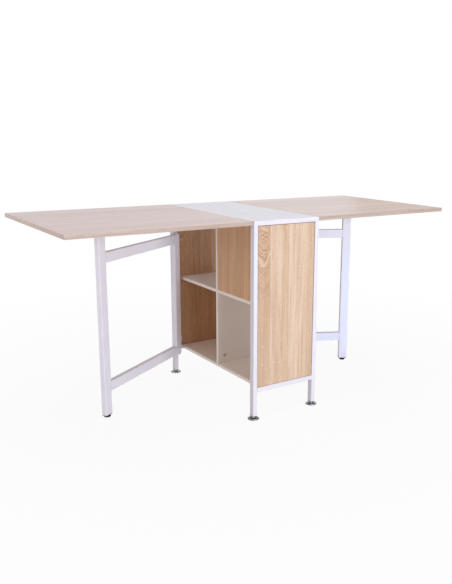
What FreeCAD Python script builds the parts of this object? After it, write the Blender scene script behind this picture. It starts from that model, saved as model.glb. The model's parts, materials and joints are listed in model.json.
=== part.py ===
import FreeCAD, Part
import math
import os

# Drop-leaf kitchen table with a storage cabinet in its middle.
# Millimetres, +Z up, origin on the floor under the middle of the cabinet.
# +X runs along the opened table, +Y towards the side where the gate legs are hung.

V = FreeCAD.Vector
ZERO = V(0, 0, 0)
ALONG_X = V(1, 0, 0)
ALONG_Y = V(0, 1, 0)
UP = V(0, 0, 1)

# Opened table
table_height = 740.0
centre_width = 288.0
frame_depth = 654.0
leaf_length = 665.0
leaf_depth = 648.0
leaf_thickness = 15.0
leaf_gap = 2.0
leaf_edge_chamfer = 1.0

# End frames of flat steel tube, with its narrow side to the ends
tube_face = 17.0
tube_depth = 25.0
tube_wall = 1.2
tube_bore_radius = 1.3
post_end_height = 14.0
lower_rail_height = 106.0

# Boards of the cabinet
board = 12.0
board_edge_chamfer = 0.6
board_recess = 38.0
joint_gap = 0.25
end_panel_thickness = 15.0
end_panel_recess = 3.0
end_panel_clearance = 0.6
shelf_height_share = 0.502

# Gate legs of flat steel tube, pivoting beside the back posts
gate_tube_width = 38.0
gate_tube_depth = 20.0
gate_reach = 544.0
gate_top_drop = 107.0
gate_bottom_height = 96.0
gate_post_clearance = 0.5
gate_leaf_clearance = 0.5
left_gate_angle = 57.5
right_gate_angle = 63.0

# Pivots of the gate legs
lug_thickness = 3.0
lug_clearance = 0.5
pivot_pin_radius = 4.0
pivot_head_radius = 7.0
pivot_head_height = 4.0
pivot_depth = 11.0
bush_radius = 6.0
bush_flange_radius = 7.5
bush_flange_height = 1.5
bush_length = 12.0

# Plastic ends of the gate legs
cap_plate = 2.0
plug_depth = 14.0
plug_clearance = 0.2
glide_height = 10.0
glide_neck_height = 2.0
glide_neck_radius = 6.0
glide_radius = 13.0
glide_edge_chamfer = 2.0

# Levelling feet and the inserts that hold them
foot_radius = 22.0
foot_rim_height = 3.5
foot_rim_chamfer = 1.2
foot_cone_height = 7.5
foot_collar_radius = 8.0
foot_stud_radius = 5.0
foot_stud_depth = 18.0
foot_gap = 0.3
insert_flange = 2.0
insert_depth = 22.0

# Leaf hinges
hinge_length = 40.0
hinge_from_end = 25.0
hinge_plate = 1.6
hinge_flap_width = 24.0
knuckle_radius = 3.0
knuckle_drop = 0.3
knuckle_clearance = 0.6
knuckle_end_gap = 0.3
hinge_pin_radius = 1.5
hinge_screw_spacing = 24.0

# Screws, cam locks and dowels
screw_radius = 1.75
screw_head_radius = 3.5
screw_head_height = 2.0
screw_length = 11.0
cam_radius = 7.5
cam_depth = 9.5
cam_setback = 32.0
cam_from_centre = 74.0
cam_bolt_radius = 3.0
cam_bolt_bite = 8.0
dowel_radius = 3.0
dowel_shallow = 7.0
dowel_deep = 15.0
dowel_from_centre = 40.0
dowel_stagger = 22.0
dowel_along_share = 0.25

# Tabs welded inside the end frames
tab_thickness = 2.0
tab_size = 20.0
tab_side_clearance = 1.0
tab_from_rail = 30.0
tab_from_centre = 60.0

# Clearances and the overrun of every cut
running_clearance = 0.05
hole_clearance = 0.1
overrun = 1.0

# Places that follow from the sizes above
half_width = centre_width / 2
half_depth = frame_depth / 2
frame_inside = half_depth - tube_depth
leaf_underside = table_height - leaf_thickness
tube_corner_radius = tube_bore_radius + tube_wall
rail_underside = table_height - tube_face
lower_rail_top = lower_rail_height + tube_face
board_edge = half_width - board_recess
end_panel_outside = half_depth - end_panel_recess
end_panel_inside = end_panel_outside - end_panel_thickness
bottom_top = lower_rail_top
bottom_underside = bottom_top - board
shelf_middle = bottom_top + shelf_height_share * (leaf_underside - bottom_top)
shelf_top = shelf_middle + board / 2
shelf_underside = shelf_middle - board / 2
post_middle_x = half_width - tube_face / 2
post_middle_y = half_depth - tube_depth / 2
pivot_from_end = gate_tube_depth / 2
pivot_swing = math.hypot(gate_tube_depth / 2, pivot_from_end)
pivot_x = half_width - gate_tube_depth / 2
pivot_y = frame_inside - pivot_swing - gate_post_clearance
gate_top_height = leaf_underside - gate_top_drop
gate_leg_top = leaf_underside - gate_leaf_clearance - cap_plate
gate_leg_bottom = glide_height
hinge_axis_x = half_width + leaf_gap / 2
hinge_axis_z = leaf_underside - knuckle_drop - knuckle_radius
hinge_place = frame_inside - hinge_from_end
hinge_places = (-hinge_place, hinge_place)

SIDES = {"left": -1, "right": 1}
ENDS = {"front": -1, "back": 1}

nodes = {}
holes = {}


def add(node, *solids):
    """Put solids into a node."""
    nodes.setdefault(node, []).extend(solids)


def drill(node, *cutters):
    """Keep holes for a node until it is written."""
    holes.setdefault(node, []).extend(cutters)


def block(low, high):
    """Box between two corners, given in any order."""
    x0, x1 = sorted((low[0], high[0]))
    y0, y1 = sorted((low[1], high[1]))
    z0, z1 = sorted((low[2], high[2]))
    return Part.makeBox(x1 - x0, y1 - y0, z1 - z0, V(x0, y0, z0))


def eased_board(low, high, chamfer):
    """Board between two corners, with every edge eased as an edge band is."""
    sharp = block(low, high)
    return sharp.makeChamfer(chamfer, sharp.Edges)


def rod(radius, start, direction, length):
    """Round bar from a point along a direction."""
    return Part.makeCylinder(radius, length, start, direction)


def plate_outline(points, y0, y1):
    """Flat outline in the XZ plane, thickened from y0 to y1."""
    corners = [V(x, y0, z) for x, z in points]
    face = Part.Face(Part.makePolygon(corners + corners[:1]))
    return face.extrude(V(0, y1 - y0, 0))


def rounded_bar(width, depth, radius, low, high):
    """Upright bar round the Z axis, with its four long edges rounded."""
    bar = block((-width / 2, -depth / 2, low), (width / 2, depth / 2, high))
    uprights = [edge for edge in bar.Edges if edge.BoundBox.ZLength > edge.BoundBox.DiagonalLength / 2]
    return bar.makeFillet(radius, uprights)


def steel_tube(width, depth, length):
    """Rectangular tube with rounded corners, open at both ends, standing on the origin."""
    outside = rounded_bar(width, depth, tube_corner_radius, 0, length)
    bore_width = width - 2 * tube_wall
    bore_depth = depth - 2 * tube_wall
    bore = rounded_bar(bore_width, bore_depth, tube_bore_radius, -overrun, length + overrun)
    return outside.cut(bore)


def upright_tube(width, depth, middle, low, high):
    """Tube that stands at a place on X, from one height to another."""
    return steel_tube(width, depth, high - low).translated(V(middle, 0, low))


def level_tube(width, depth, height, start, end):
    """Tube that lies along X with its middle at a height."""
    lying = steel_tube(width, depth, end - start).rotated(ZERO, ALONG_Y, 90)
    return lying.translated(V(start, 0, height))


def mitred(bar, outline, depth):
    """Bar cut to an outline in the XZ plane, which passes clear of the sides that stay."""
    return bar.common(plate_outline(outline, -depth / 2 - overrun, depth / 2 + overrun))


def end_post():
    """Left post: mitred into the top rail, open at the floor end."""
    post = upright_tube(tube_face, tube_depth, -post_middle_x, post_end_height, table_height)
    outside = -half_width - overrun
    inside = -half_width + tube_face + overrun
    low = post_end_height - overrun
    outline = [(outside, low), (inside, low)]
    outline += [(inside, rail_underside - overrun), (outside, table_height + overrun)]
    return mitred(post, outline, tube_depth)


def top_rail():
    """Top rail, mitred at both ends."""
    rail = level_tube(tube_face, tube_depth, table_height - tube_face / 2, -half_width, half_width)
    long_reach = half_width + overrun
    short_reach = half_width - tube_face - overrun
    high = table_height + overrun
    low = rail_underside - overrun
    outline = [(-long_reach, high), (long_reach, high), (short_reach, low), (-short_reach, low)]
    return mitred(rail, outline, tube_depth)


def lower_rail():
    """Lower rail, butted between the posts."""
    reach = half_width - tube_face
    return level_tube(tube_face, tube_depth, lower_rail_height + tube_face / 2, -reach, reach)


def make_end_frames():
    """Front and back welded frames, each of two posts and two rails."""
    post = end_post()
    bars = [post, post.mirror(ZERO, ALONG_X), top_rail(), lower_rail()]
    for end, sign in ENDS.items():
        place = V(0, sign * post_middle_y, 0)
        add(end + "_end_frame", *[bar.translated(place) for bar in bars])


def make_end_panels():
    """Oak panels let into the end frames, standing on the lower rails."""
    reach = half_width - tube_face - end_panel_clearance
    high = rail_underside - end_panel_clearance
    for end, sign in ENDS.items():
        low_corner = (-reach, sign * end_panel_inside, lower_rail_top)
        high_corner = (reach, sign * end_panel_outside, high)
        add(end + "_end_panel", eased_board(low_corner, high_corner, board_edge_chamfer))


def rail_notch():
    """Room for the front top rail at the upper corner of the panel that passes under it."""
    low = (-board_edge - overrun, -end_panel_inside - overrun, rail_underside - joint_gap)
    high = (-board_edge + board + overrun, joint_gap - frame_inside, leaf_underside + overrun)
    return block(low, high)


def make_boards():
    """White carcass boards and the two oak panels that close a compartment each."""
    long_reach = frame_inside - joint_gap
    low = (-half_width, -long_reach, leaf_underside)
    add("top_panel", eased_board(low, (half_width, long_reach, table_height), board_edge_chamfer))
    low = (-board_edge, -long_reach, bottom_underside)
    add("bottom_panel", eased_board(low, (board_edge, long_reach, bottom_top), board_edge_chamfer))
    low = (-board_edge, -end_panel_inside, shelf_underside)
    add("shelf", eased_board(low, (board_edge, end_panel_inside, shelf_top), board_edge_chamfer))
    low = (-board_edge, -board / 2, shelf_top)
    add("upper_divider", eased_board(low, (board_edge, board / 2, leaf_underside), board_edge_chamfer))
    low = (-board_edge, -board / 2, bottom_top)
    add("lower_divider", eased_board(low, (board_edge, board / 2, shelf_underside), board_edge_chamfer))
    low = (-board_edge, -end_panel_inside, shelf_top)
    high = (-board_edge + board, -board / 2, leaf_underside)
    add("upper_closing_panel", eased_board(low, high, board_edge_chamfer))
    drill("upper_closing_panel", rail_notch())
    low = (board_edge - board, board / 2, bottom_top)
    high = (board_edge, end_panel_inside, shelf_underside)
    add("lower_closing_panel", eased_board(low, high, board_edge_chamfer))


def pan_screw(seat, direction):
    """Screw whose head sits on a plate at seat, and the hole that it needs."""
    head = rod(screw_head_radius, seat - direction * screw_head_height, direction, screw_head_height)
    shank = rod(screw_radius, seat, direction, screw_length)
    bore_radius = screw_radius + hole_clearance
    bore = rod(bore_radius, seat - direction * overrun, direction, screw_length + overrun + hole_clearance)
    return head.fuse(shank).removeSplitter(), bore


def make_tabs():
    """Tabs welded inside the end frames, which hold the panels by screws."""
    reach = board_recess - tube_face - tab_side_clearance
    levels = (lower_rail_top + tab_from_rail, rail_underside - tab_from_rail)
    for end, y_sign in ENDS.items():
        for x_sign in SIDES.values():
            post_face = x_sign * (half_width - tube_face)
            for level in levels:
                low = (post_face, y_sign * (end_panel_inside - tab_thickness), level - tab_size / 2)
                high = (post_face - x_sign * reach, y_sign * end_panel_inside, level + tab_size / 2)
                seat = V(post_face - x_sign * reach / 2, low[1], level)
                screw, bore = pan_screw(seat, ALONG_Y * y_sign)
                add("frame_tabs", block(low, high).cut(bore))
                add("tab_screws", screw)
                drill(end + "_end_panel", bore)
            for panel, underside in (("top_panel", leaf_underside), ("bottom_panel", bottom_underside)):
                middle = x_sign * tab_from_centre
                low = (middle - tab_size / 2, y_sign * frame_inside, underside - tab_thickness)
                high = (middle + tab_size / 2, y_sign * (frame_inside - tab_size), underside)
                seat = V(middle, y_sign * (frame_inside - tab_size / 2), low[2])
                screw, bore = pan_screw(seat, UP)
                add("frame_tabs", block(low, high).cut(bore))
                add("tab_screws", screw)
                drill(panel, bore)


def cam_joint(holder, mate, centre, inward, towards):
    """Cam lock let into one board, and the bolt that ties it to the next."""
    add("cam_locks", rod(cam_radius, centre, inward, cam_depth))
    pocket_depth = cam_depth + hole_clearance + overrun
    pocket = rod(cam_radius + hole_clearance, centre - inward * overrun, inward, pocket_depth)
    axis = centre + inward * (board / 2)
    bolt_start = cam_radius + hole_clearance
    bolt_end = cam_setback + cam_bolt_bite
    add("cam_bolts", rod(cam_bolt_radius, axis + towards * bolt_start, towards, bolt_end - bolt_start))
    bore = rod(cam_bolt_radius + hole_clearance, axis, towards, bolt_end + hole_clearance)
    drill(holder, pocket, bore)
    drill(mate, bore)


def make_cam_joints():
    """Cam locks of the dividers and of the shelf."""
    for x_sign in SIDES.values():
        x = x_sign * cam_from_centre
        centre = V(x, -board / 2, bottom_top + cam_setback)
        cam_joint("lower_divider", "bottom_panel", centre, ALONG_Y, -UP)
        centre = V(x, -board / 2, leaf_underside - cam_setback)
        cam_joint("upper_divider", "top_panel", centre, ALONG_Y, UP)
        for end, y_sign in ENDS.items():
            centre = V(x, y_sign * (end_panel_inside - cam_setback), shelf_underside)
            cam_joint("shelf", end + "_end_panel", centre, UP, ALONG_Y * y_sign)


def dowel_joint(shallow_board, deep_board, meeting, direction):
    """Wooden dowel across a joint: the short end sits in the first board."""
    start = meeting - direction * dowel_shallow
    length = dowel_shallow + dowel_deep
    add("dowels", rod(dowel_radius, start, direction, length))
    bore_radius = dowel_radius + hole_clearance
    bore_start = start - direction * hole_clearance
    bore = rod(bore_radius, bore_start, direction, length + 2 * hole_clearance)
    drill(shallow_board, bore)
    drill(deep_board, bore)


def make_dowels():
    """Dowels of the dividers on the shelf and of the two closing panels."""
    for x_sign in SIDES.values():
        x = x_sign * dowel_from_centre
        dowel_joint("shelf", "upper_divider", V(x, 0, shelf_top), UP)
        x += x_sign * dowel_stagger
        dowel_joint("shelf", "lower_divider", V(x, 0, shelf_underside), -UP)
    panel_x = board_edge - board / 2
    span = end_panel_inside - board / 2
    for share in (dowel_along_share, 1 - dowel_along_share):
        y = board / 2 + share * span
        dowel_joint("shelf", "upper_closing_panel", V(-panel_x, -y, shelf_top), UP)
        dowel_joint("top_panel", "upper_closing_panel", V(-panel_x, -y, leaf_underside), -UP)
        dowel_joint("shelf", "lower_closing_panel", V(panel_x, y, shelf_underside), -UP)
        dowel_joint("bottom_panel", "lower_closing_panel", V(panel_x, y, bottom_top), UP)


def foot_profile():
    """Half section of a levelling foot: low disc that rises to a collar, and its stud."""
    collar_top = post_end_height - insert_flange - foot_gap
    stud_top = post_end_height + foot_stud_depth
    outline = [(0, 0), (foot_radius, 0)]
    outline += [(foot_radius, foot_rim_height - foot_rim_chamfer)]
    outline += [(foot_radius - foot_rim_chamfer, foot_rim_height)]
    outline += [(foot_collar_radius, foot_cone_height), (foot_collar_radius, collar_top)]
    outline += [(foot_stud_radius, collar_top), (foot_stud_radius, stud_top), (0, stud_top)]
    corners = [V(x, 0, z) for x, z in outline]
    return Part.Face(Part.makePolygon(corners + corners[:1]))


def post_insert():
    """Nylon insert that closes a post and takes the foot's stud."""
    slack = 2 * (tube_wall + plug_clearance)
    flange_low = post_end_height - insert_flange
    flange = rounded_bar(tube_face, tube_depth, tube_corner_radius, flange_low, post_end_height)
    plug_top = post_end_height + insert_depth
    plug = rounded_bar(tube_face - slack, tube_depth - slack, tube_bore_radius, post_end_height, plug_top)
    bore_start = V(0, 0, flange_low - overrun)
    bore_length = plug_top - flange_low + 2 * overrun
    bore = rod(foot_stud_radius + running_clearance, bore_start, UP, bore_length)
    return flange.fuse(plug).cut(bore)


def make_feet():
    """A levelling foot and its insert under each post."""
    foot = foot_profile().revolve(ZERO, UP, 360)
    for end, y_sign in ENDS.items():
        for side, x_sign in SIDES.items():
            place = V(x_sign * post_middle_x, y_sign * post_middle_y, 0)
            add(end + "_" + side + "_foot", foot.translated(place))
            add("post_inserts", post_insert().translated(place))


def leaf_hinge():
    """Right-hand hinge at the origin of its axis: fixed plate, flap, pin and screws."""
    third = hinge_length / 3
    half = hinge_length / 2
    plate_top = leaf_underside - hinge_axis_z
    plate_low = plate_top - hinge_plate
    near = knuckle_radius + knuckle_clearance
    far = near + hinge_flap_width
    bore_start = V(0, -half - overrun, 0)
    bore_length = hinge_length + 2 * overrun
    bore = rod(hinge_pin_radius + running_clearance, bore_start, ALONG_Y, bore_length)

    def knuckle(x_sign, y0, y1):
        ring = rod(knuckle_radius, V(0, y0, 0), ALONG_Y, y1 - y0)
        return ring.fuse(block((0, y0, plate_low), (x_sign * near, y1, plate_top)))

    fixed = block((-near, -half, plate_low), (-far, half, plate_top))
    fixed = fixed.fuse([knuckle(-1, -half, -third / 2), knuckle(-1, third / 2, half)])
    flap = block((near, -half, plate_low), (far, half, plate_top))
    flap = flap.fuse(knuckle(1, -third / 2 + knuckle_end_gap, third / 2 - knuckle_end_gap))
    pin = rod(hinge_pin_radius, V(0, -half, 0), ALONG_Y, hinge_length)
    screws = {-1: [], 1: []}
    bores = {-1: [], 1: []}
    for x_sign in screws:
        for y_sign in (-1, 1):
            seat = V(x_sign * (near + far) / 2, y_sign * hinge_screw_spacing / 2, plate_low)
            screw, hole = pan_screw(seat, UP)
            screws[x_sign].append(screw)
            bores[x_sign].append(hole)
    fixed = fixed.cut([bore] + bores[-1]).removeSplitter()
    flap = flap.cut([bore] + bores[1]).removeSplitter()
    return fixed, flap, pin, screws, bores


def make_leaves():
    """Oak leaves and the concealed hinges that carry them."""
    fixed, flap, pin, screws, bores = leaf_hinge()
    for side, x_sign in SIDES.items():
        near = half_width + leaf_gap
        low = (x_sign * near, -leaf_depth / 2, leaf_underside)
        high = (x_sign * (near + leaf_length), leaf_depth / 2, table_height)
        add(side + "_leaf_board", eased_board(low, high, leaf_edge_chamfer))
        for y in hinge_places:
            def placed(shape):
                handed = shape if x_sign > 0 else shape.mirror(ZERO, ALONG_X)
                return handed.translated(V(x_sign * hinge_axis_x, y, hinge_axis_z))

            add("hinge_plates", placed(fixed))
            add("hinge_pins", placed(pin))
            add("hinge_plate_screws", *[placed(screw) for screw in screws[-1]])
            add(side + "_leaf_flaps", placed(flap))
            add(side + "_leaf_screws", *[placed(screw) for screw in screws[1]])
            drill("top_panel", *[placed(bore) for bore in bores[-1]])
            drill(side + "_leaf_board", *[placed(bore) for bore in bores[1]])


def gate_tubes():
    """Stile, two rails and leg of a gate, drawn along +X from its pivot."""
    width = gate_tube_width
    depth = gate_tube_depth
    low = gate_bottom_height
    high = gate_top_height
    start = -pivot_from_end
    leg_near = gate_reach - width
    near = start - overrun
    far = start + width + overrun
    corner_low = low - overrun
    corner_high = low + width + overrun
    stile = upright_tube(width, depth, start + width / 2, low, high)
    outline = [(near, corner_low), (near, high + overrun)]
    outline += [(far, high - width - overrun), (far, corner_high)]
    stile = mitred(stile, outline, depth)
    rail = level_tube(width, depth, low + width / 2, start, leg_near)
    outline = [(near, corner_low), (far, corner_high)]
    outline += [(leg_near + overrun, corner_high), (leg_near + overrun, corner_low)]
    rail = mitred(rail, outline, depth)
    bush_hole = rod(bush_radius + hole_clearance, V(0, 0, low - overrun), UP, tube_wall + 2 * overrun)
    rail = rail.cut(bush_hole)
    middle = V(0, 0, (low + high) / 2)
    leg = upright_tube(width, depth, gate_reach - width / 2, gate_leg_bottom, gate_leg_top)
    return [stile, rail, rail.mirror(middle, UP), leg]


def gate_bushes():
    """Flanged bush in the bottom rail of a gate, and its twin in the top rail."""
    low = gate_bottom_height
    shank = rod(bush_radius, V(0, 0, low), UP, bush_length)
    flange = rod(bush_flange_radius, V(0, 0, low + tube_wall), UP, bush_flange_height)
    bore_radius = pivot_pin_radius + running_clearance
    bore = rod(bore_radius, V(0, 0, low - overrun), UP, bush_length + 2 * overrun)
    bush = shank.fuse(flange).cut(bore)
    middle = V(0, 0, (low + gate_top_height) / 2)
    return [bush, bush.mirror(middle, UP)]


def leg_plug(low, high):
    """Part of a plastic end that sits inside the leg tube."""
    slack = 2 * (tube_wall + plug_clearance)
    plug = rounded_bar(gate_tube_width - slack, gate_tube_depth - slack, tube_bore_radius, low, high)
    return plug.translated(ALONG_X * (gate_reach - gate_tube_width / 2))


def leg_plate(low, high):
    """Plate of a plastic end that covers the end of the leg tube."""
    plate = rounded_bar(gate_tube_width, gate_tube_depth, tube_corner_radius, low, high)
    return plate.translated(ALONG_X * (gate_reach - gate_tube_width / 2))


def gate_cap():
    """Plastic cap on the leg, under the leaf."""
    plate = leg_plate(gate_leg_top, gate_leg_top + cap_plate)
    return plate.fuse(leg_plug(gate_leg_top - plug_depth, gate_leg_top))


def gate_glide():
    """Black glide under the leg: plug, plate, neck and round pad."""
    middle = V(gate_reach - gate_tube_width / 2, 0, 0)
    pad_height = glide_height - cap_plate - glide_neck_height
    pad = rod(glide_radius, middle, UP, pad_height)
    rims = [edge for edge in pad.Edges if edge.Closed]
    pad = pad.makeChamfer(glide_edge_chamfer, rims)
    neck = rod(glide_neck_radius, middle + UP * pad_height, UP, glide_neck_height)
    plate = leg_plate(gate_leg_bottom - cap_plate, gate_leg_bottom)
    plug = leg_plug(gate_leg_bottom, gate_leg_bottom + plug_depth)
    return pad.fuse([neck, plate, plug])


def make_gates():
    """Both gate legs at the angle to which they are opened."""
    for side, x_sign in SIDES.items():
        opened = left_gate_angle if x_sign < 0 else right_gate_angle
        heading = x_sign * opened - 90
        place = V(x_sign * pivot_x, pivot_y, 0)

        def placed(shape):
            return shape.rotated(ZERO, UP, heading).translated(place)

        add(side + "_gate_frame", *[placed(bar) for bar in gate_tubes()])
        add(side + "_gate_bushes", *[placed(bush) for bush in gate_bushes()])
        add(side + "_gate_cap", placed(gate_cap()))
        add(side + "_gate_glide", placed(gate_glide()))


def make_pivots():
    """Lugs on the back posts and the pins that the gates turn on."""
    half = gate_tube_depth / 2
    lug_top = gate_bottom_height - lug_clearance
    lug_low = lug_top - lug_thickness
    middle = V(0, 0, (gate_bottom_height + gate_top_height) / 2)
    for x_sign in SIDES.values():
        place = V(x_sign * pivot_x, pivot_y, 0)
        arm = block((place.x - half, place.y, lug_low), (place.x + half, frame_inside, lug_top))
        lug = arm.fuse(rod(half, place + UP * lug_low, UP, lug_thickness)).removeSplitter()
        bore_radius = pivot_pin_radius + running_clearance
        bore = rod(bore_radius, place + UP * (lug_low - overrun), UP, lug_thickness + 2 * overrun)
        lug = lug.cut(bore)
        shank_length = gate_bottom_height + pivot_depth - lug_low
        shank = rod(pivot_pin_radius, place + UP * lug_low, UP, shank_length)
        head = rod(pivot_head_radius, place + UP * (lug_low - pivot_head_height), UP, pivot_head_height)
        pin = shank.fuse(head)
        add("gate_lugs", lug, lug.mirror(middle, UP))
        add("gate_pins", pin, pin.mirror(middle, UP))


def write_nodes():
    """Cut the holes that were kept and write one file for each node."""
    os.makedirs("parts", exist_ok=True)
    for node, solids in nodes.items():
        shape = solids[0] if len(solids) == 1 else Part.makeCompound(solids)
        if node in holes:
            shape = shape.cut(holes[node])
        shape.exportStep("parts/" + node + ".step")
        print(node, len(shape.Solids), "solids", round(shape.Volume), "mm3", shape.isValid())


make_end_frames()
make_end_panels()
make_boards()
make_tabs()
make_cam_joints()
make_dowels()
make_feet()
make_leaves()
make_gates()
make_pivots()
write_nodes()
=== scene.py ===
# %% [markdown]
# Folding kitchen table with a storage cabinet
#
# The CAD model already holds every board, tube and hinge at its real size.
# This lesson gives that model its looks: light, a camera, a finish for each material,
# and a few small pieces whose shape matters close up.
# Everything is in metres, in the CAD model's own frame, so nothing has to be fitted.

# %% Load the model
import json
import math

import bmesh
import bpy
from mathutils import Matrix, Vector


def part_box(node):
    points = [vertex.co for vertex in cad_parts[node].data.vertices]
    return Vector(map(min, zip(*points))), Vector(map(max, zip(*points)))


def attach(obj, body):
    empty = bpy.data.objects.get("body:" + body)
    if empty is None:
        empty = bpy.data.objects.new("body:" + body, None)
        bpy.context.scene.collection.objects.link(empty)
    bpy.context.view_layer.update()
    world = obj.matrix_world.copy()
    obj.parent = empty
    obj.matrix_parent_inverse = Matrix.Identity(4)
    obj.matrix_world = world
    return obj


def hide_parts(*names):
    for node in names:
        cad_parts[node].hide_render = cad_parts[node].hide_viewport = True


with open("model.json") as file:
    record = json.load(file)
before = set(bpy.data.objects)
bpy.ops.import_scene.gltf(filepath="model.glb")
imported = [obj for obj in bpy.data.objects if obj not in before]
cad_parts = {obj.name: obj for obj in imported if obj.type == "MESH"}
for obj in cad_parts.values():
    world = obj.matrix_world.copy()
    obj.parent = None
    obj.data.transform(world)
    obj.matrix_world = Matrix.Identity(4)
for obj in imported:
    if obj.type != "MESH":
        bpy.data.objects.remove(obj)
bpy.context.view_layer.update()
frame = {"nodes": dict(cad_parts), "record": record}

nodes = frame["nodes"]

# %% [markdown]
# The camera
#
# A camera can be placed by eye, but here its place was worked out from the picture's vanishing lines
# and the table's known size. It looks down a little, from the front left.
# The table was not in the middle of the frame, so the lens is shifted sideways instead of turned:
# turning it would tip the upright posts.

# %% Camera
camera_place = Vector((-1.4805, -2.3654, 1.0467))
camera_turn = math.radians(-35.75)
camera_dip = math.radians(13.1)
camera_roll = math.radians(0.86)
forward = Vector((-math.sin(camera_turn) * math.cos(camera_dip),
                  math.cos(camera_turn) * math.cos(camera_dip),
                  -math.sin(camera_dip)))
level_right = Vector((math.cos(camera_turn), math.sin(camera_turn), 0))
level_up = level_right.cross(forward)
right = math.cos(camera_roll) * level_right + math.sin(camera_roll) * level_up
up = -math.sin(camera_roll) * level_right + math.cos(camera_roll) * level_up

lens = bpy.data.cameras.new("camera")
lens.lens = 43.33
lens.sensor_width = 36.0
lens.shift_x = -0.099
lens.shift_y = 0.0048
camera = bpy.data.objects.new("camera", lens)
bpy.context.scene.collection.objects.link(camera)
turn = Matrix((right, up, -forward)).transposed().to_4x4()
camera.matrix_world = Matrix.Translation(camera_place) @ turn
bpy.context.scene.camera = camera
bpy.context.scene.view_settings.view_transform = "Standard"
print("camera at", [round(value, 3) for value in camera.location])

# %% [markdown]
# Helpers for shader trees
#
# Shader trees can be wired by hand in the editor. In a script each node takes several lines,
# so one helper makes a node and fills its inputs, with a number or with another node's output.
# The others do one small thing each: a step of arithmetic, a soft step from one range to another,
# a mix of two colours, the three parts of a vector, and a colour as a screen shows it.

# %% Shader helpers
def fill(tree, socket, value):
    """Input wired to another node's output, or set to a plain value."""
    if isinstance(value, bpy.types.NodeSocket):
        tree.links.new(value, socket)
    else:
        socket.default_value = value


def add_node(tree, kind, inputs=None, **settings):
    """Node with its settings and inputs filled in."""
    node = tree.nodes.new(kind)
    for name, value in settings.items():
        setattr(node, name, value)
    for name, value in (inputs or {}).items():
        fill(tree, node.inputs[name], value)
    return node


def calc(tree, operation, first, second=0.0, third=0.0):
    """One step of arithmetic on sockets or numbers."""
    node = add_node(tree, "ShaderNodeMath", {0: first, 1: second, 2: third}, operation=operation)
    return node.outputs[0]


def fade(tree, value, low, high, start=0.0, end=1.0):
    """Value spread from one range to another, and held at its ends."""
    inputs = {0: value, 1: low, 2: high, 3: start, 4: end}
    return add_node(tree, "ShaderNodeMapRange", inputs).outputs[0]


def blend_colour(tree, amount, first, second, mode="MIX"):
    """Colour between two colours."""
    node = add_node(tree, "ShaderNodeMix", data_type="RGBA", blend_type=mode)
    for index, value in ((0, amount), (6, first), (7, second)):
        fill(tree, node.inputs[index], value)
    return node.outputs[2]


def split(tree, vector):
    """The X, Y and Z parts of a vector."""
    return add_node(tree, "ShaderNodeSeparateXYZ", {0: vector}).outputs


def colour(red, green, blue):
    """Colour as seen on a screen, 0 to 255, turned into the linear values that light works with."""
    def linear(value):
        share = value / 255
        return share / 12.92 if share <= 0.04045 else ((share + 0.055) / 1.055) ** 2.4

    return linear(red), linear(green), linear(blue), 1.0


X, Y, Z = 0, 1, 2
print("a screen's middle grey is", round(colour(128, 128, 128)[0], 3), "of the light of white")

# %% [markdown]
# Background light
#
# The picture has a plain white background. A bright white world would also light the table from
# every side and flatten it. So the world is asked what kind of ray looks at it: the camera sees white,
# and rays that carry soft light get a weaker, slightly warm light. Shiny surfaces mirror a white sheet
# behind the table and, to the right of the sheet's edge, a duller warm wall: that is why the far half
# of the right leaf shows less glare than the near half.

# %% World
def sees_background(tree):
    """1 for camera, mirror and glass rays, 0 for the rays that carry soft light."""
    path = add_node(tree, "ShaderNodeLightPath").outputs
    seen = calc(tree, "MAXIMUM", path["Is Camera Ray"], path["Is Glossy Ray"])
    return calc(tree, "MAXIMUM", seen, path["Is Transmission Ray"])


white = (1.0, 1.0, 1.0, 1.0)
ambient_strength = 0.44
ambient_colour = (1.0, 0.925, 0.895, 1.0)
sheet_colour = (0.96, 0.98, 1.0, 1.0)
sheet_shade = (0.88, 0.88, 0.93, 1.0)
wall_colour = (0.78, 0.74, 0.70, 1.0)
sheet_edge = math.radians(41.4)
shade_fade = (-0.24, -0.10)
edge_fade = (-0.01, 0.01)
wall_fade = (-0.3, -0.1)

world = bpy.data.worlds.new("studio")
bpy.context.scene.world = world
world.use_nodes = True
tree = world.node_tree
tree.nodes.clear()
soft = add_node(tree, "ShaderNodeBackground", {"Color": ambient_colour, "Strength": ambient_strength})
heading = add_node(tree, "ShaderNodeTexCoord").outputs["Generated"]
across_edge = (math.cos(sheet_edge), -math.sin(sheet_edge), 0.0)
past_edge = add_node(tree, "ShaderNodeVectorMath", {0: heading, 1: across_edge},
                     operation="DOT_PRODUCT").outputs["Value"]
ahead = split(tree, heading)[Y]
sheet = blend_colour(tree, fade(tree, past_edge, *shade_fade), sheet_shade, sheet_colour)
on_wall = calc(tree, "MULTIPLY", fade(tree, past_edge, *edge_fade), fade(tree, ahead, *wall_fade))
mirrored = blend_colour(tree, on_wall, sheet, wall_colour)
is_camera = add_node(tree, "ShaderNodeLightPath").outputs["Is Camera Ray"]
shown = blend_colour(tree, is_camera, mirrored, white)
plain = add_node(tree, "ShaderNodeBackground", {"Color": shown, "Strength": 1.0})
both = add_node(tree, "ShaderNodeMixShader",
                {0: sees_background(tree), 1: soft.outputs[0], 2: plain.outputs[0]})
add_node(tree, "ShaderNodeOutputWorld", {"Surface": both.outputs[0]})
print("world light:", ambient_strength)

# %% [markdown]
# The floor
#
# A floor catches the shadow that makes the table stand instead of float.
# It is a real pale surface for the light that bounces off it. For the camera it is partly veiled
# with white, more so away from the table, so that it runs into the background with no edge.

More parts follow.
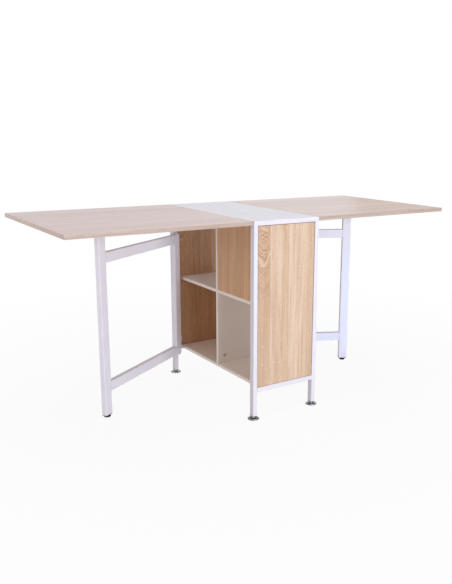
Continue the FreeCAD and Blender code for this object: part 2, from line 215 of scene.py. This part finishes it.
# %% Floor
floor_reach = 7.0
floor_colour = (0.80, 0.78, 0.76, 1.0)
floor_roughness = 0.9
floor_shine = 0.1
veil_near = 0.93
veil_start = 0.6
veil_end = 2.2
paper = bpy.data.materials.new("studio_paper")
paper.use_nodes = True
tree = paper.node_tree
matt = tree.nodes["Principled BSDF"]
matt.inputs["Base Color"].default_value = floor_colour
matt.inputs["Roughness"].default_value = floor_roughness
matt.inputs["Specular IOR Level"].default_value = floor_shine
place = add_node(tree, "ShaderNodeTexCoord").outputs["Object"]
away = add_node(tree, "ShaderNodeVectorMath", {0: place}, operation="LENGTH").outputs["Value"]
veil = fade(tree, away, veil_start, veil_end, veil_near, 1.0)
shown = calc(tree, "MULTIPLY", sees_background(tree), veil)
glow = add_node(tree, "ShaderNodeEmission", {"Color": white, "Strength": 1.0})
both = add_node(tree, "ShaderNodeMixShader", {0: shown, 1: matt.outputs[0], 2: glow.outputs[0]})
tree.links.new(both.outputs[0], tree.nodes["Material Output"].inputs["Surface"])

mesh = bpy.data.meshes.new("floor")
bm = bmesh.new()
bmesh.ops.create_grid(bm, x_segments=1, y_segments=1, size=floor_reach)
bm.to_mesh(mesh)
bm.free()
floor = bpy.data.objects.new("floor", mesh)
floor.data.materials.append(paper)
bpy.context.scene.collection.objects.link(floor)
print("floor reaches", floor_reach, "m from the table")

# %% [markdown]
# The lamps
#
# The front of the cabinet is bright, right up to the leaves, and the left faces are in soft shade.
# So one large soft lamp stands far off in front, a weaker and warmer one on the left, and a third
# hangs above for the table top. Large lamps give soft shadow edges, as studio screens do, and a far
# one lights the front and the back of the table almost alike. The right gate leg looks bluer than
# the other steel, so a small upright lamp sends it some blue light. A narrow spread, like the grid
# on a studio lamp, keeps that light off the cabinet.

# %% Lamps
middle = Vector((0.0, 0.0, 0.45))
right_gate = Vector((0.52, 0.12, 0.21))


def soft_lamp(name, place, size, power, tint, target=middle, height=None, spread=180.0):
    """Lamp that faces the table, or lights one spot of it when its spread in degrees is small."""
    light = bpy.data.lights.new(name, "AREA")
    light.shape = "RECTANGLE"
    light.size = size
    light.size_y = height or size
    light.spread = math.radians(spread)
    light.energy = power
    light.color = tint
    lamp = bpy.data.objects.new(name, light)
    lamp.location = place
    lamp.rotation_euler = (target - Vector(place)).to_track_quat("-Z", "Y").to_euler()
    bpy.context.scene.collection.objects.link(lamp)
    print(name, "at", place, "power", power)


soft_lamp("front_lamp", place=(0.2, -12.0, 1.0), size=5.0, power=950.0, tint=(0.94, 0.96, 1.0))
soft_lamp("left_lamp", place=(-4.2, -1.4, 1.5), size=2.0, power=22.0, tint=(1.0, 0.97, 0.95))
soft_lamp("top_lamp", place=(0.2, -0.3, 3.2), size=2.4, power=25.0, tint=(0.96, 0.97, 1.0))
soft_lamp("gate_lamp", place=(1.6, -2.6, 0.21), size=0.25, power=0.31, tint=(0.16, 0.46, 1.0),
          target=right_gate, height=0.64, spread=11.0)

# %% [markdown]
# A start for each finish
#
# Each finish of the table is a material of its own, and they all begin alike. Patterns can be laid
# on an unwrapped map, but boards and tubes have plain shapes, so the place of a point in metres does
# as well: the scale is then true everywhere. The way a face points tells edges from flat sides.

# %% Finish helpers
def start_finish(name):
    """Material with its tree, its shader and the place of each surface point."""
    finish = bpy.data.materials.new(name)
    finish.use_nodes = True
    tree = finish.node_tree
    shader = tree.nodes["Principled BSDF"]
    place = add_node(tree, "ShaderNodeTexCoord").outputs["Object"]
    return finish, tree, shader, place


def facing(tree, axis):
    """How squarely a face points along an axis, one way or the other: 0 to 1."""
    normal = add_node(tree, "ShaderNodeTexCoord").outputs["Normal"]
    return calc(tree, "ABSOLUTE", split(tree, normal)[axis])


def bump(tree, shader, height, strength, distance):
    """Surface relief from a height."""
    relief = add_node(tree, "ShaderNodeBump", {"Height": height, "Strength": strength, "Distance": distance})
    tree.links.new(relief.outputs[0], shader.inputs["Normal"])


print("materials so far:", [material.name for material in bpy.data.materials])

# %% [markdown]
# Wood grain
#
# The leaves, the end panels and the closing panels are chipboard covered with printed oak paper.
# A photograph of wood could be wrapped round the boards, but a formula is sharp at any distance.
# Noise stretched along the grain makes the streaks. The print shows planks side by side, so the
# noise jumps along the grain from plank to plank. On the faces that cut the grain a band is glued
# with its own grain along it, so there the two directions change places.

# %% Grain
def grain_noise(tree, place, along, per_metre_along, per_metre_across, detail):
    """Noise that is stretched along one axis."""
    scale = [per_metre_across] * 3
    scale[along] = per_metre_along
    stretched = add_node(tree, "ShaderNodeMapping", {"Vector": place, "Scale": scale})
    noise = add_node(tree, "ShaderNodeTexNoise",
                     {"Vector": stretched.outputs[0], "Scale": 1.0, "Detail": detail, "Roughness": 0.6})
    return noise.outputs["Fac"]


def turned_at_ends(tree, place, along, across):
    """Place with its grain turned on the faces that cut the grain, where an edge band is glued."""
    is_end = calc(tree, "GREATER_THAN", facing(tree, along), 0.8)
    axes = split(tree, place)
    order = [X, Y, Z]
    order[along], order[across] = across, along
    swapped = add_node(tree, "ShaderNodeCombineXYZ", {i: axes[source] for i, source in enumerate(order)})
    node = add_node(tree, "ShaderNodeMix", data_type="VECTOR")
    for index, value in ((0, is_end), (4, place), (5, swapped.outputs[0])):
        fill(tree, node.inputs[index], value)
    return node.outputs[1]


plank_jump = 3.7
sway_width = 0.020


def shifted_print(tree, place, along, across, number):
    """Place that jumps along the grain from plank to plank, and sways a little across it."""
    waves = grain_noise(tree, place, along, 2.6, 9.0, 2.0)
    sway = calc(tree, "MULTIPLY_ADD", waves, sway_width, -sway_width / 2)
    shift = {along: calc(tree, "MULTIPLY", number, plank_jump), across: sway}
    offset = add_node(tree, "ShaderNodeCombineXYZ", shift).outputs[0]
    return add_node(tree, "ShaderNodeVectorMath", {0: place, 1: offset}, operation="ADD").outputs[0]


print("each plank's print starts", plank_jump, "m further along than the one before")

# %% [markdown]
# Year rings
#
# Where the heart of the tree comes up in a plank, the year rings make nested arches. Drawing each
# arch as a curve would take long. Instead they are the level lines of a valley: a height that grows
# along the grain and falls to both sides of the heart. Its whole numbers count the rings, and what
# is left over runs from 0 to 1 across each ring, which gives a line with one sharp side.

# %% Rings
valley_round = 0.00003
ring_wobble = 0.05
rings_per_metre = 78.0
ring_unevenness = 2.2
ring_edge = 0.86
ring_glint = 0.08


def year_rings(tree, place, along, across, number, heart, heart_plank):
    """Dark and light arches of year rings in one plank, over the place where the heart comes up."""
    steepness, reach = heart["steepness"], heart["reach"]
    axes = split(tree, place)
    wobble = grain_noise(tree, place, along, 14.0, 42.0, 3.0)
    aside = calc(tree, "SUBTRACT", axes[across], heart["across"])
    above = calc(tree, "SUBTRACT", axes[along], heart["along"])
    valley = calc(tree, "SQRT", calc(tree, "MULTIPLY_ADD", aside, aside, valley_round))
    rings = calc(tree, "MULTIPLY_ADD", valley, -steepness, above)
    rings = calc(tree, "MULTIPLY_ADD", wobble, ring_wobble * steepness, rings)
    rings = calc(tree, "MULTIPLY", rings, rings_per_metre / steepness)
    uneven = add_node(tree, "ShaderNodeTexNoise", {"W": rings, "Scale": 0.7, "Detail": 0.0},
                      noise_dimensions="1D").outputs["Fac"]
    rings = calc(tree, "MULTIPLY_ADD", uneven, ring_unevenness, rings)
    turn = calc(tree, "FRACT", rings)
    depth = add_node(tree, "ShaderNodeTexWhiteNoise", {"W": calc(tree, "FLOOR", rings)},
                     noise_dimensions="1D").outputs["Value"]
    in_plank = calc(tree, "COMPARE", number, heart_plank, 0.5)
    near = fade(tree, calc(tree, "ABSOLUTE", above), reach, 0.5 * reach)
    strength = calc(tree, "MULTIPLY", in_plank, near)
    strength = calc(tree, "MULTIPLY", strength, fade(tree, depth, 0.0, 1.0, 0.2, 1.0))
    dark = calc(tree, "MULTIPLY", fade(tree, turn, 0.2, ring_edge), fade(tree, turn, 1.0, ring_edge))
    light = calc(tree, "MULTIPLY", fade(tree, turn, 0.0, ring_glint), fade(tree, turn, 0.4, ring_glint))
    return calc(tree, "MULTIPLY", dark, strength), calc(tree, "MULTIPLY", light, strength)


print("year rings:", rings_per_metre, "to a metre")

# %% [markdown]
# Painted joint shadow
#
# The end panels are let into the steel frame, and the gap at the joint lies in shade, which shows as a
# thin dark line. A groove could be cut round the panel, but the CAD piece keeps its shape, so the
# finish paints that shadow as a line: it measures how far a point is from the panel's border.

# %% Painted joint shadow
joint_shadow_width = 0.0024
# Colour multiplied into the print on the painted shadow line.
painted_joint_shadow = (0.50, 0.48, 0.49, 1.0)


def beside_rim(tree, axes, along, across, rim):
    """1 on a thin line along a board's border, where the joint's shadow is painted."""
    low, high = rim
    aside = calc(tree, "SUBTRACT", high[across], calc(tree, "ABSOLUTE", axes[across]))
    above = calc(tree, "SUBTRACT", axes[along], low[along])
    below = calc(tree, "SUBTRACT", high[along], axes[along])
    inward = calc(tree, "MINIMUM", aside, calc(tree, "MINIMUM", above, below))
    return fade(tree, inward, joint_shadow_width, 0.6 * joint_shadow_width)


print("joint line:", joint_shadow_width, "m wide")

# %% [markdown]
# Printed oak
#
# The print has broad bands, a reddish blush, streaks, hairlines, flecks and pores, each finer than
# the last, and each plank has its own tone. They are laid over one another as a painter glazes,
# from the palest tone to the darkest. Inside the cabinet the print is painted darker and richer:
# this is painted shade, for the shade in the compartments, more so on the end panels than on the
# panels that close a side. The bands glued on the long edges of the leaves are a little greyer than
# the top.

# %% Oak
grain_scales = {
    "bands": (1.1, 26.0, 1.0),
    "blush": (0.8, 58.0, 1.0),
    "streaks": (2.4, 95.0, 4.0),
    "hairs": (9.0, 330.0, 3.0),
    "flecks": (60.0, 170.0, 2.0),
    "pores": (55.0, 1500.0, 1.0),
}
inside_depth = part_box("back_end_panel")[0].y
inside_fade = 0.001


def oak_finish(name, tones, along, across, plank, start, heart, seed, contrast=1.0, coat=0.1, rim=None):
    """Printed oak with its grain along one axis and its planks side by side on another."""
    finish, tree, shader, place = start_finish(name)
    place = turned_at_ends(tree, place, along, across)
    axes = split(tree, place)
    number = calc(tree, "FLOOR", calc(tree, "MULTIPLY_ADD", axes[across], 1 / plank, start))
    draw = calc(tree, "ADD", number, seed)
    luck = add_node(tree, "ShaderNodeTexWhiteNoise", {"W": draw}, noise_dimensions="1D").outputs["Color"]
    luck = add_node(tree, "ShaderNodeSeparateColor", {0: luck}).outputs[0]
    print_place = shifted_print(tree, place, along, across, draw)
    grain = {layer: grain_noise(tree, print_place, along, *scale) for layer, scale in grain_scales.items()}
    pores = fade(tree, grain["pores"], 0.58, 0.72)
    heart_plank = math.floor(heart["across"] / plank + start)
    dark_rings, light_rings = year_rings(tree, place, along, across, number, heart, heart_plank)

    glazes = (
        ("mid", fade(tree, grain["bands"], 0.34, 0.66)),
        ("tan", fade(tree, luck, 0.0, 1.0, 0.0, 0.55)),
        ("tan", fade(tree, grain["streaks"], 0.48, 0.72, 0.0, 0.8 * contrast)),
        ("rose", fade(tree, grain["blush"], 0.56, 0.70, 0.0, 0.7)),
        ("line", fade(tree, grain["hairs"], 0.52, 0.80, 0.0, 0.55 * contrast)),
        ("pale", fade(tree, grain["flecks"], 0.57, 0.72, 0.0, 0.6 * contrast)),
        ("pale", calc(tree, "MULTIPLY", light_rings, 0.7 * contrast)),
        ("line", calc(tree, "MULTIPLY", dark_rings, 0.95 * contrast)),
        ("pore", calc(tree, "MULTIPLY", pores, 0.3 * contrast)),
    )
    tint = tones["pale"]
    for tone, amount in glazes:
        tint = blend_colour(tree, amount, tint, tones[tone])
    # Painted shade: the print is darkened inside the cabinet, where the compartments lie in shade.
    if "inside" in tones:
        depth = calc(tree, "ABSOLUTE", axes[Y])
        in_painted_shade = fade(tree, depth, inside_depth + inside_fade, inside_depth)
        tint = blend_colour(tree, in_painted_shade, tint, tones["inside"], "MULTIPLY")
    if "band" in tones:
        on_band = fade(tree, facing(tree, across), 0.5, 0.9)
        tint = blend_colour(tree, on_band, tint, tones["band"], "MULTIPLY")
    # Painted shadow: a thin dark line round the end panel's border, where the gap to the frame lies in
    # shade.
    if rim:
        on_joint_shadow = beside_rim(tree, axes, along, across, rim)
        tint = blend_colour(tree, on_joint_shadow, tint, painted_joint_shadow, "MULTIPLY")
    tree.links.new(tint, shader.inputs["Base Color"])
    tree.links.new(fade(tree, grain["hairs"], 0.3, 0.7, 0.36, 0.46), shader.inputs["Roughness"])
    shader.inputs["Specular IOR Level"].default_value = 0.35
    shader.inputs["Coat Weight"].default_value = coat
    shader.inputs["Coat Roughness"].default_value = 0.1
    bump(tree, shader, calc(tree, "MULTIPLY_ADD", pores, -0.8, grain["hairs"]), 0.12, 0.0004)
    print(name, "nodes:", len(tree.nodes))
    return finish


print("grain layers:", ", ".join(grain_scales))

# %% [markdown]
# The oak boards
#
# The end panels and closing panels are golden with upright grain. The leaves are paler and pinker,
# with grain along the table and a clear coat that mirrors at low angles. One finish could serve all,
# but each board shows its own planks and its own arches, so each kind of board gets its own.

# %% Oak boards
# The inside factors darken the print inside the cabinet: painted shade, stronger on the end panels than on
# the closing panels.
golden_oak = {"pale": colour(237, 215, 193), "mid": colour(221, 192, 164), "tan": colour(202, 168, 139),
              "rose": colour(215, 172, 150), "line": colour(178, 138, 106), "pore": colour(146, 108, 80),
              "inside": (0.79, 0.62, 0.48, 1.0)}
side_tones = dict(golden_oak, inside=(0.99, 0.80, 0.575, 1.0))
leaf_tones = {"pale": colour(225, 199, 187), "mid": colour(210, 178, 164), "tan": colour(192, 157, 141),
              "rose": colour(205, 161, 150), "line": colour(168, 128, 111), "pore": colour(141, 103, 87),
              "band": (0.80, 0.88, 0.91, 1.0)}
end_heart = {"across": -0.100, "along": 0.60, "reach": 0.16, "steepness": 1.5}
side_heart = {"across": 0.10, "along": 0.30, "reach": 0.2, "steepness": 3.0}
leaf_heart = {"across": 0.145, "along": -0.40, "reach": 0.34, "steepness": 5.0}

# The end panel's border, passed as rim, is where its painted joint shadow goes.
end_oak = oak_finish("end_panel_oak", golden_oak, along=Z, across=X, plank=0.084, start=0.86,
                     heart=end_heart, seed=63.0, contrast=1.15, rim=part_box("front_end_panel"))
side_oak = oak_finish("closing_panel_oak", side_tones, along=Z, across=Y, plank=0.084, start=0.1,
                      heart=side_heart, seed=31.0)
leaf_oak = oak_finish("leaf_oak", leaf_tones, along=X, across=Y, plank=0.105, start=0.0,
                      heart=leaf_heart, seed=42.0, contrast=0.85, coat=0.6)

# %% [markdown]
# White powder coat
#
# The steel frames and gates are sprayed with powder and baked. The coat is a cool white,
# half glossy, with the faint dimples that makers call orange peel.
# They are far too small to model, so a fine noise tilts the surface instead.

# %% Powder coat
clouds_per_metre = 9.0
clouds_detail = 4.0
peel_detail = 2.0
peel_height = 0.0003


def speckle(tree, place, per_metre, detail):
    """Even noise of one fineness."""
    noise = add_node(tree, "ShaderNodeTexNoise", {"Vector": place, "Scale": per_metre, "Detail": detail})
    return noise.outputs["Fac"]


def coated_finish(name, light, shade, peel_per_metre, roughness, relief):
    """Pale coat with faint clouds of tone and a fine relief."""
    finish, tree, shader, place = start_finish(name)
    clouds = speckle(tree, place, clouds_per_metre, clouds_detail)
    peel = speckle(tree, place, peel_per_metre, peel_detail)
    tint = blend_colour(tree, fade(tree, clouds, 0.35, 0.7), light, shade)
    tree.links.new(tint, shader.inputs["Base Color"])
    tree.links.new(fade(tree, peel, 0.3, 0.7, *roughness), shader.inputs["Roughness"])
    bump(tree, shader, peel, relief, peel_height)
    print(name, "nodes:", len(tree.nodes))
    return finish


powder_coat = coated_finish("white_powder_coat", light=colour(239, 239, 251), shade=colour(234, 234, 248),
                            peel_per_metre=650.0, roughness=(0.34, 0.46), relief=0.10)

# %% [markdown]
# White melamine
#
# The top, the shelf, the bottom and the dividers are chipboard with white melamine paper.
# The top is a cool white. The boards inside are ivory, the dividers a little darker than the shelf
# and the bottom: that difference is painted light and shade, as the upward faces of the shelf and the
# bottom catch more light. The bands glued on their long edges are paler, with a thin seam beside them.
# The bands could be pieces of their own, but they are flush, so a finish that knows which way a face
# points is enough: the bands point along X.

# %% Melamine
melamine_peel = 1400.0
melamine_relief = 0.06
band_thickness = 0.001
seam_width = 0.00025
seam_strength = 0.6
cloud_strength = 0.5
cloud_shade = 0.95


def banded_finish(name, face, band, seam, half_width):
    """Melamine board with paler bands on the edges that point along X."""
    finish, tree, shader, place = start_finish(name)
    peel = speckle(tree, place, melamine_peel, peel_detail)
    aside = calc(tree, "ABSOLUTE", split(tree, place)[X])
    clouds = speckle(tree, place, clouds_per_metre, clouds_detail)
    clouds = fade(tree, clouds, 0.35, 0.7, 0.0, cloud_strength)
    tint = blend_colour(tree, clouds, face, [share * cloud_shade for share in face[:3]] + [1.0])
    on_seam = calc(tree, "COMPARE", aside, half_width - band_thickness, seam_width / 2)
    tint = blend_colour(tree, calc(tree, "MULTIPLY", on_seam, seam_strength), tint, seam)
    tint = blend_colour(tree, calc(tree, "GREATER_THAN", facing(tree, X), 0.6), tint, band)
    tree.links.new(tint, shader.inputs["Base Color"])
    tree.links.new(fade(tree, peel, 0.3, 0.7, 0.4, 0.52), shader.inputs["Roughness"])
    bump(tree, shader, peel, melamine_relief, peel_height)
    print(name, "nodes:", len(tree.nodes))
    return finish


melamine = coated_finish("white_melamine", light=colour(242, 243, 250), shade=colour(238, 239, 247),
                         peel_per_metre=melamine_peel, roughness=(0.38, 0.5), relief=melamine_relief)
board_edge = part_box("shelf")[1].x
ivory_band = colour(255, 248, 238)
band_seam = colour(170, 150, 130)
# Lit and shaded copies of one melamine: the paler copy is painted light, the darker one painted shade.
shaded_ivory_board = banded_finish("shaded_ivory_melamine", colour(242, 234, 227), ivory_band, band_seam, board_edge)
lit_pale_board = banded_finish("lit_pale_melamine", colour(255, 248, 240), ivory_band, band_seam, board_edge)

# %% [markdown]
# Metals and plastics of the small parts
#
# The feet are chromed, the hinges and screws are zinc plated, and the cam locks are duller zinc
# castings with a warmer, yellower tint, which is painted shade for the warm shade inside the cabinet.
# The glides are black plastic, the caps and bushes are white plastic, and the dowels are beech.
# Metals get their look from what they mirror, so their roughness matters more than their colour:
# fine scratches vary it.

# %% Small parts
def metal_finish(name, light, dark, per_metre, roughness):
    """Plated metal whose tone and shine vary over the surface."""
    finish, tree, shader, place = start_finish(name)
    clouds = speckle(tree, place, per_metre, 5.0)
    tint = blend_colour(tree, fade(tree, clouds, 0.3, 0.7), light, dark)
    tree.links.new(tint, shader.inputs["Base Color"])
    shader.inputs["Metallic"].default_value = 1.0
    tree.links.new(fade(tree, clouds, 0.3, 0.7, *roughness), shader.inputs["Roughness"])
    bump(tree, shader, clouds, 0.03, 0.0002)
    print(name, "nodes:", len(tree.nodes))
    return finish


chrome = metal_finish("chrome", light=colour(176, 176, 180), dark=colour(150, 150, 155),
                      per_metre=900.0, roughness=(0.06, 0.16))
zinc = metal_finish("zinc_steel", light=colour(196, 194, 186), dark=colour(168, 167, 166),
                    per_metre=420.0, roughness=(0.26, 0.42))
# Painted shade: the cam locks' warm tint stands in for the warm shade inside the cabinet.
cam_zinc_painted_shade = metal_finish("cam_zinc_painted_shade", light=colour(216, 200, 180), dark=colour(194, 180, 164),
                        per_metre=420.0, roughness=(0.45, 0.6))
black_plastic = coated_finish("black_plastic", light=colour(30, 30, 32), shade=colour(24, 24, 26),
                              peel_per_metre=1100.0, roughness=(0.4, 0.55), relief=0.12)
white_plastic = coated_finish("white_plastic", light=colour(236, 235, 240), shade=colour(230, 229, 234),
                              peel_per_metre=1100.0, roughness=(0.4, 0.5), relief=0.08)
dowel_heart = {"across": 0.0, "along": 0.0, "reach": 0.01, "steepness": 1.5}
beech = oak_finish("beech", golden_oak, along=Z, across=X, plank=0.02, start=0.0,
                   heart=dowel_heart, seed=1.0)

# %% [markdown]
# Dressing the CAD pieces
#
# Each CAD piece came with a plain material for its kind. Its slot gets the finish made above.
# The boards differ by the way their grain runs and by their tone, so those are named one by one.

# %% Assign finishes
finish_of_slot = {
    "white_powder_coat": powder_coat,
    "white_laminate": melamine,
    "oak_laminate": leaf_oak,
    "chrome": chrome,
    "zinc_steel": zinc,
    "beech": beech,
    "black_plastic": black_plastic,
    "white_plastic": white_plastic,
}
finish_of_node = {
    "front_end_panel": end_oak,
    "back_end_panel": end_oak,
    "upper_closing_panel": side_oak,
    "lower_closing_panel": side_oak,
    # Shelf and bottom take the paler, lit copy, the dividers the shaded one: painted light and shade.
    "shelf": lit_pale_board,
    "bottom_panel": lit_pale_board,
    "upper_divider": shaded_ivory_board,
    "lower_divider": shaded_ivory_board,
}
for part in frame["record"]["subparts"]:
    node = part["node"]
    finish = finish_of_node.get(node, finish_of_slot[part["material_slot"]])
    slots = nodes[node].material_slots
    for slot in slots:
        slot.material = finish
    if not slots:
        nodes[node].data.materials.append(finish)

# %% [markdown]
# Smooth turned shapes
#
# A turned piece can be made from a cylinder by many cuts. It is simpler to draw half of its section
# with a few points, round the corners, and spin the line about the axis. Smooth shading then hides
# the facets, except over edges that are meant to be sharp.

# %% Turning
turn_steps = 64


def smooth_mesh(bm, name, finish, sharp_degrees=35.0):
    """Object with smooth shading, except over sharp edges."""
    mesh = bpy.data.meshes.new(name)
    bm.to_mesh(mesh)
    bm.free()
    mesh.shade_smooth()
    mesh.set_sharp_from_angle(angle=math.radians(sharp_degrees))
    piece = bpy.data.objects.new(name, mesh)
    piece.data.materials.append(finish)
    bpy.context.scene.collection.objects.link(piece)
    return piece


def spun_profile(profile, round_corners, corner_radius, centre):
    """Solid of revolution about an upright axis, from points of radius and height."""
    bm = bmesh.new()
    points = [bm.verts.new((radius, 0.0, height)) for radius, height in profile]
    for first, second in zip(points, points[1:]):
        bm.edges.new((first, second))
    bmesh.ops.bevel(bm, geom=[points[i] for i in round_corners], offset=corner_radius, segments=4,
                    profile=0.5, affect="VERTICES", material=-1)
    bmesh.ops.spin(bm, geom=bm.verts[:] + bm.edges[:], cent=(0, 0, 0), axis=(0, 0, 1),
                   angle=2 * math.pi, steps=turn_steps, use_merge=True)
    bmesh.ops.remove_doubles(bm, verts=bm.verts, dist=1e-6)
    bmesh.ops.recalc_face_normals(bm, faces=bm.faces)
    bmesh.ops.translate(bm, vec=centre, verts=bm.verts)
    return bm


print("a turned piece has", turn_steps, "sides")

# %% [markdown]
# Levelling feet
#
# Each post stands on a chromed disc on a threaded stud, which turns to level the table.
# Chrome shows every facet, so the feet are made again here, turned in 64 steps with rounded rims.
# The CAD feet stay hidden inside the same outline, for collision.

# %% Feet
foot_rim = 0.0032
foot_dome = 0.0072
foot_neck_radius = 0.0078
foot_stud_radius = 0.0049
slope_radius_share = 0.72
slope_height_share = 0.86
neck_gap = 0.0004
foot_rounding = 0.0008
rounded_corners = (1, 2, 3, 5)
neck_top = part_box("post_inserts")[0].z - neck_gap
for end in ("front", "back"):
    for side in ("left", "right"):
        node = end + "_" + side + "_foot"
        low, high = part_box(node)
        centre = Vector(((low.x + high.x) / 2, (low.y + high.y) / 2, 0.0))
        radius = (high.x - low.x) / 2
        profile = [(0.0, 0.0), (radius, 0.0), (radius, foot_rim),
                   (radius * slope_radius_share, foot_dome * slope_height_share),
                   (foot_neck_radius, foot_dome), (foot_neck_radius, neck_top),
                   (foot_stud_radius, neck_top), (foot_stud_radius, high.z), (0.0, high.z)]
        bm = spun_profile(profile, rounded_corners, foot_rounding, centre)
        foot = smooth_mesh(bm, end + "_" + side + "_levelling_foot", chrome)
        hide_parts(node)
        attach(foot, end + "_" + side + "_leveller")
        print(foot.name, "faces:", len(foot.data.polygons))

# %% [markdown]
# Cross slots
#
# The cam locks and the screws are turned with a cross driver. A plain disc looks unfinished close up,
# so each gets a disc with a sunk cross. The cross could be cut out with another solid, but that
# leaves untidy faces. Here the disc is cut along the lines of the cross, and the faces inside it are
# pushed down. Then the rim is drawn out to the bevelled edge, the side and, on a screw, the shank.

# %% Slotted head
head_sides = 24
head_edge_share = 0.16


def points_of(geometry):
    """The vertices in what an operator returned."""
    return [item for item in geometry if isinstance(item, bmesh.types.BMVert)]


def cross_head(radius, height, arm, slot, depth, shank=0.0, length=0.0):
    """Round head with a sunk cross that faces up from the origin, and its shank, if any, below."""
    bm = bmesh.new()
    edge = radius * head_edge_share
    bmesh.ops.create_circle(bm, cap_ends=True, segments=head_sides, radius=radius - edge)
    for line in (Vector((1, 0, 0)), Vector((0, 1, 0))):
        for cut in (-arm, -slot, slot, arm):
            geom = bm.verts[:] + bm.edges[:] + bm.faces[:]
            bmesh.ops.bisect_plane(bm, geom=geom, plane_co=line * cut, plane_no=line)
    rim = [item for item in bm.edges if item.is_boundary]
    cross = []
    for face in bm.faces:
        near, far = sorted(abs(value) for value in face.calc_center_median()[:2])
        if near < slot and far < arm:
            cross.append(face)
    sunk = bmesh.ops.extrude_face_region(bm, geom=cross)["geom"]
    bmesh.ops.delete(bm, geom=cross, context="FACES")
    bmesh.ops.translate(bm, vec=(0, 0, -depth), verts=points_of(sunk))
    steps = [(radius / (radius - edge), edge), (1.0, height - edge)]
    if length:
        steps += [(shank / radius, 0.0), (1.0, length)]
    for widen, drop in steps:
        skirt = bmesh.ops.extrude_edge_only(bm, edges=rim)["geom"]
        bmesh.ops.scale(bm, vec=(widen, widen, 1), verts=points_of(skirt))
        bmesh.ops.translate(bm, vec=(0, 0, -drop), verts=points_of(skirt))
        rim = [item for item in skirt if isinstance(item, bmesh.types.BMEdge)]
    bmesh.ops.edgeloop_fill(bm, edges=rim)
    bmesh.ops.recalc_face_normals(bm, faces=bm.faces)
    mesh = bpy.data.meshes.new("cross_head")
    bm.to_mesh(mesh)
    bm.free()
    print("slotted head of radius", radius, "m, faces:", len(mesh.polygons))
    return mesh


cam_head = cross_head(radius=0.0074, height=0.0095, arm=0.0046, slot=0.0009, depth=0.0030)
screw_head = cross_head(radius=0.0035, height=0.0020, arm=0.0019, slot=0.00045, depth=0.0012,
                        shank=0.00175, length=0.0110)

# %% [markdown]
# Where the heads go
#
# The places could be typed in, but they would be wrong as soon as a board moved. They come from the
# CAD pieces instead: a node of screws holds several loose solids, and each has its own box. The way
# a screw or cam faces follows from the shape of that box.

# %% Places of the heads
def loose_boxes(node):
    """Lowest and highest corner of each separate solid of a CAD node."""
    bm = bmesh.new()
    bm.from_mesh(nodes[node].data)
    bmesh.ops.remove_doubles(bm, verts=bm.verts, dist=1e-6)
    unseen = set(bm.verts)
    boxes = []
    while unseen:
        group = [unseen.pop()]
        for vert in group:
            linked = {edge.other_vert(vert) for edge in vert.link_edges} & unseen
            unseen -= linked
            group.extend(linked)
        places = [vert.co.copy() for vert in group]
        boxes.append((Vector(map(min, zip(*places))), Vector(map(max, zip(*places)))))
    bm.free()
    return boxes


def faces_down(low, high):
    """Heads in the underside of a board."""
    return Vector((0, 0, -1))


def faces_cam(low, high):
    """Cam locks face along their short side: out of the front of a divider, or down."""
    size = high - low
    return Vector((0, -1, 0)) if size.y < size.z else Vector((0, 0, -1))


def faces_tab(low, high):
    """Upright screws face down, and level ones face the inside of the cabinet."""
    size = high - low
    return Vector((0, 0, -1)) if size.z > size.y else Vector((0, 1 if low.y < 0 else -1, 0))


print("screws in the tabs:", len(loose_boxes("tab_screws")))

# %% [markdown]
# Setting the heads
#
# All heads of one node become one piece, as in the CAD model, so that the piece can stand for the
# node. Each head is copied in, turned the way it faces, and moved to the outer end of its box.

# %% Set the heads
def cross_heads(node, name, body, head, facing_of, finish):
    """One piece with a slotted head at each solid of a CAD node."""
    bm = bmesh.new()
    for low, high in loose_boxes(node):
        direction = facing_of(low, high)
        face = (low + high) / 2
        reach = max(direction, key=abs)
        axis = [abs(value) for value in direction].index(1)
        face[axis] = high[axis] if reach > 0 else low[axis]
        count = len(bm.verts)
        bm.from_mesh(head)
        bm.verts.ensure_lookup_table()
        place = Matrix.Translation(face) @ direction.to_track_quat("Z", "Y").to_matrix().to_4x4()
        bmesh.ops.transform(bm, matrix=place, verts=bm.verts[count:])
    piece = smooth_mesh(bm, name, finish)
    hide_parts(node)
    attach(piece, body)
    print(name, "faces:", len(piece.data.polygons))


cross_heads("cam_locks", "slotted_cam_locks", "cabinet", cam_head, faces_cam, cam_zinc_painted_shade)
cross_heads("tab_screws", "slotted_tab_screws", "cabinet", screw_head, faces_tab, zinc)
cross_heads("hinge_plate_screws", "slotted_hinge_screws", "cabinet", screw_head, faces_down, zinc)
cross_heads("left_leaf_screws", "slotted_left_leaf_screws", "left_leaf", screw_head, faces_down, zinc)
cross_heads("right_leaf_screws", "slotted_right_leaf_screws", "right_leaf", screw_head, faces_down, zinc)
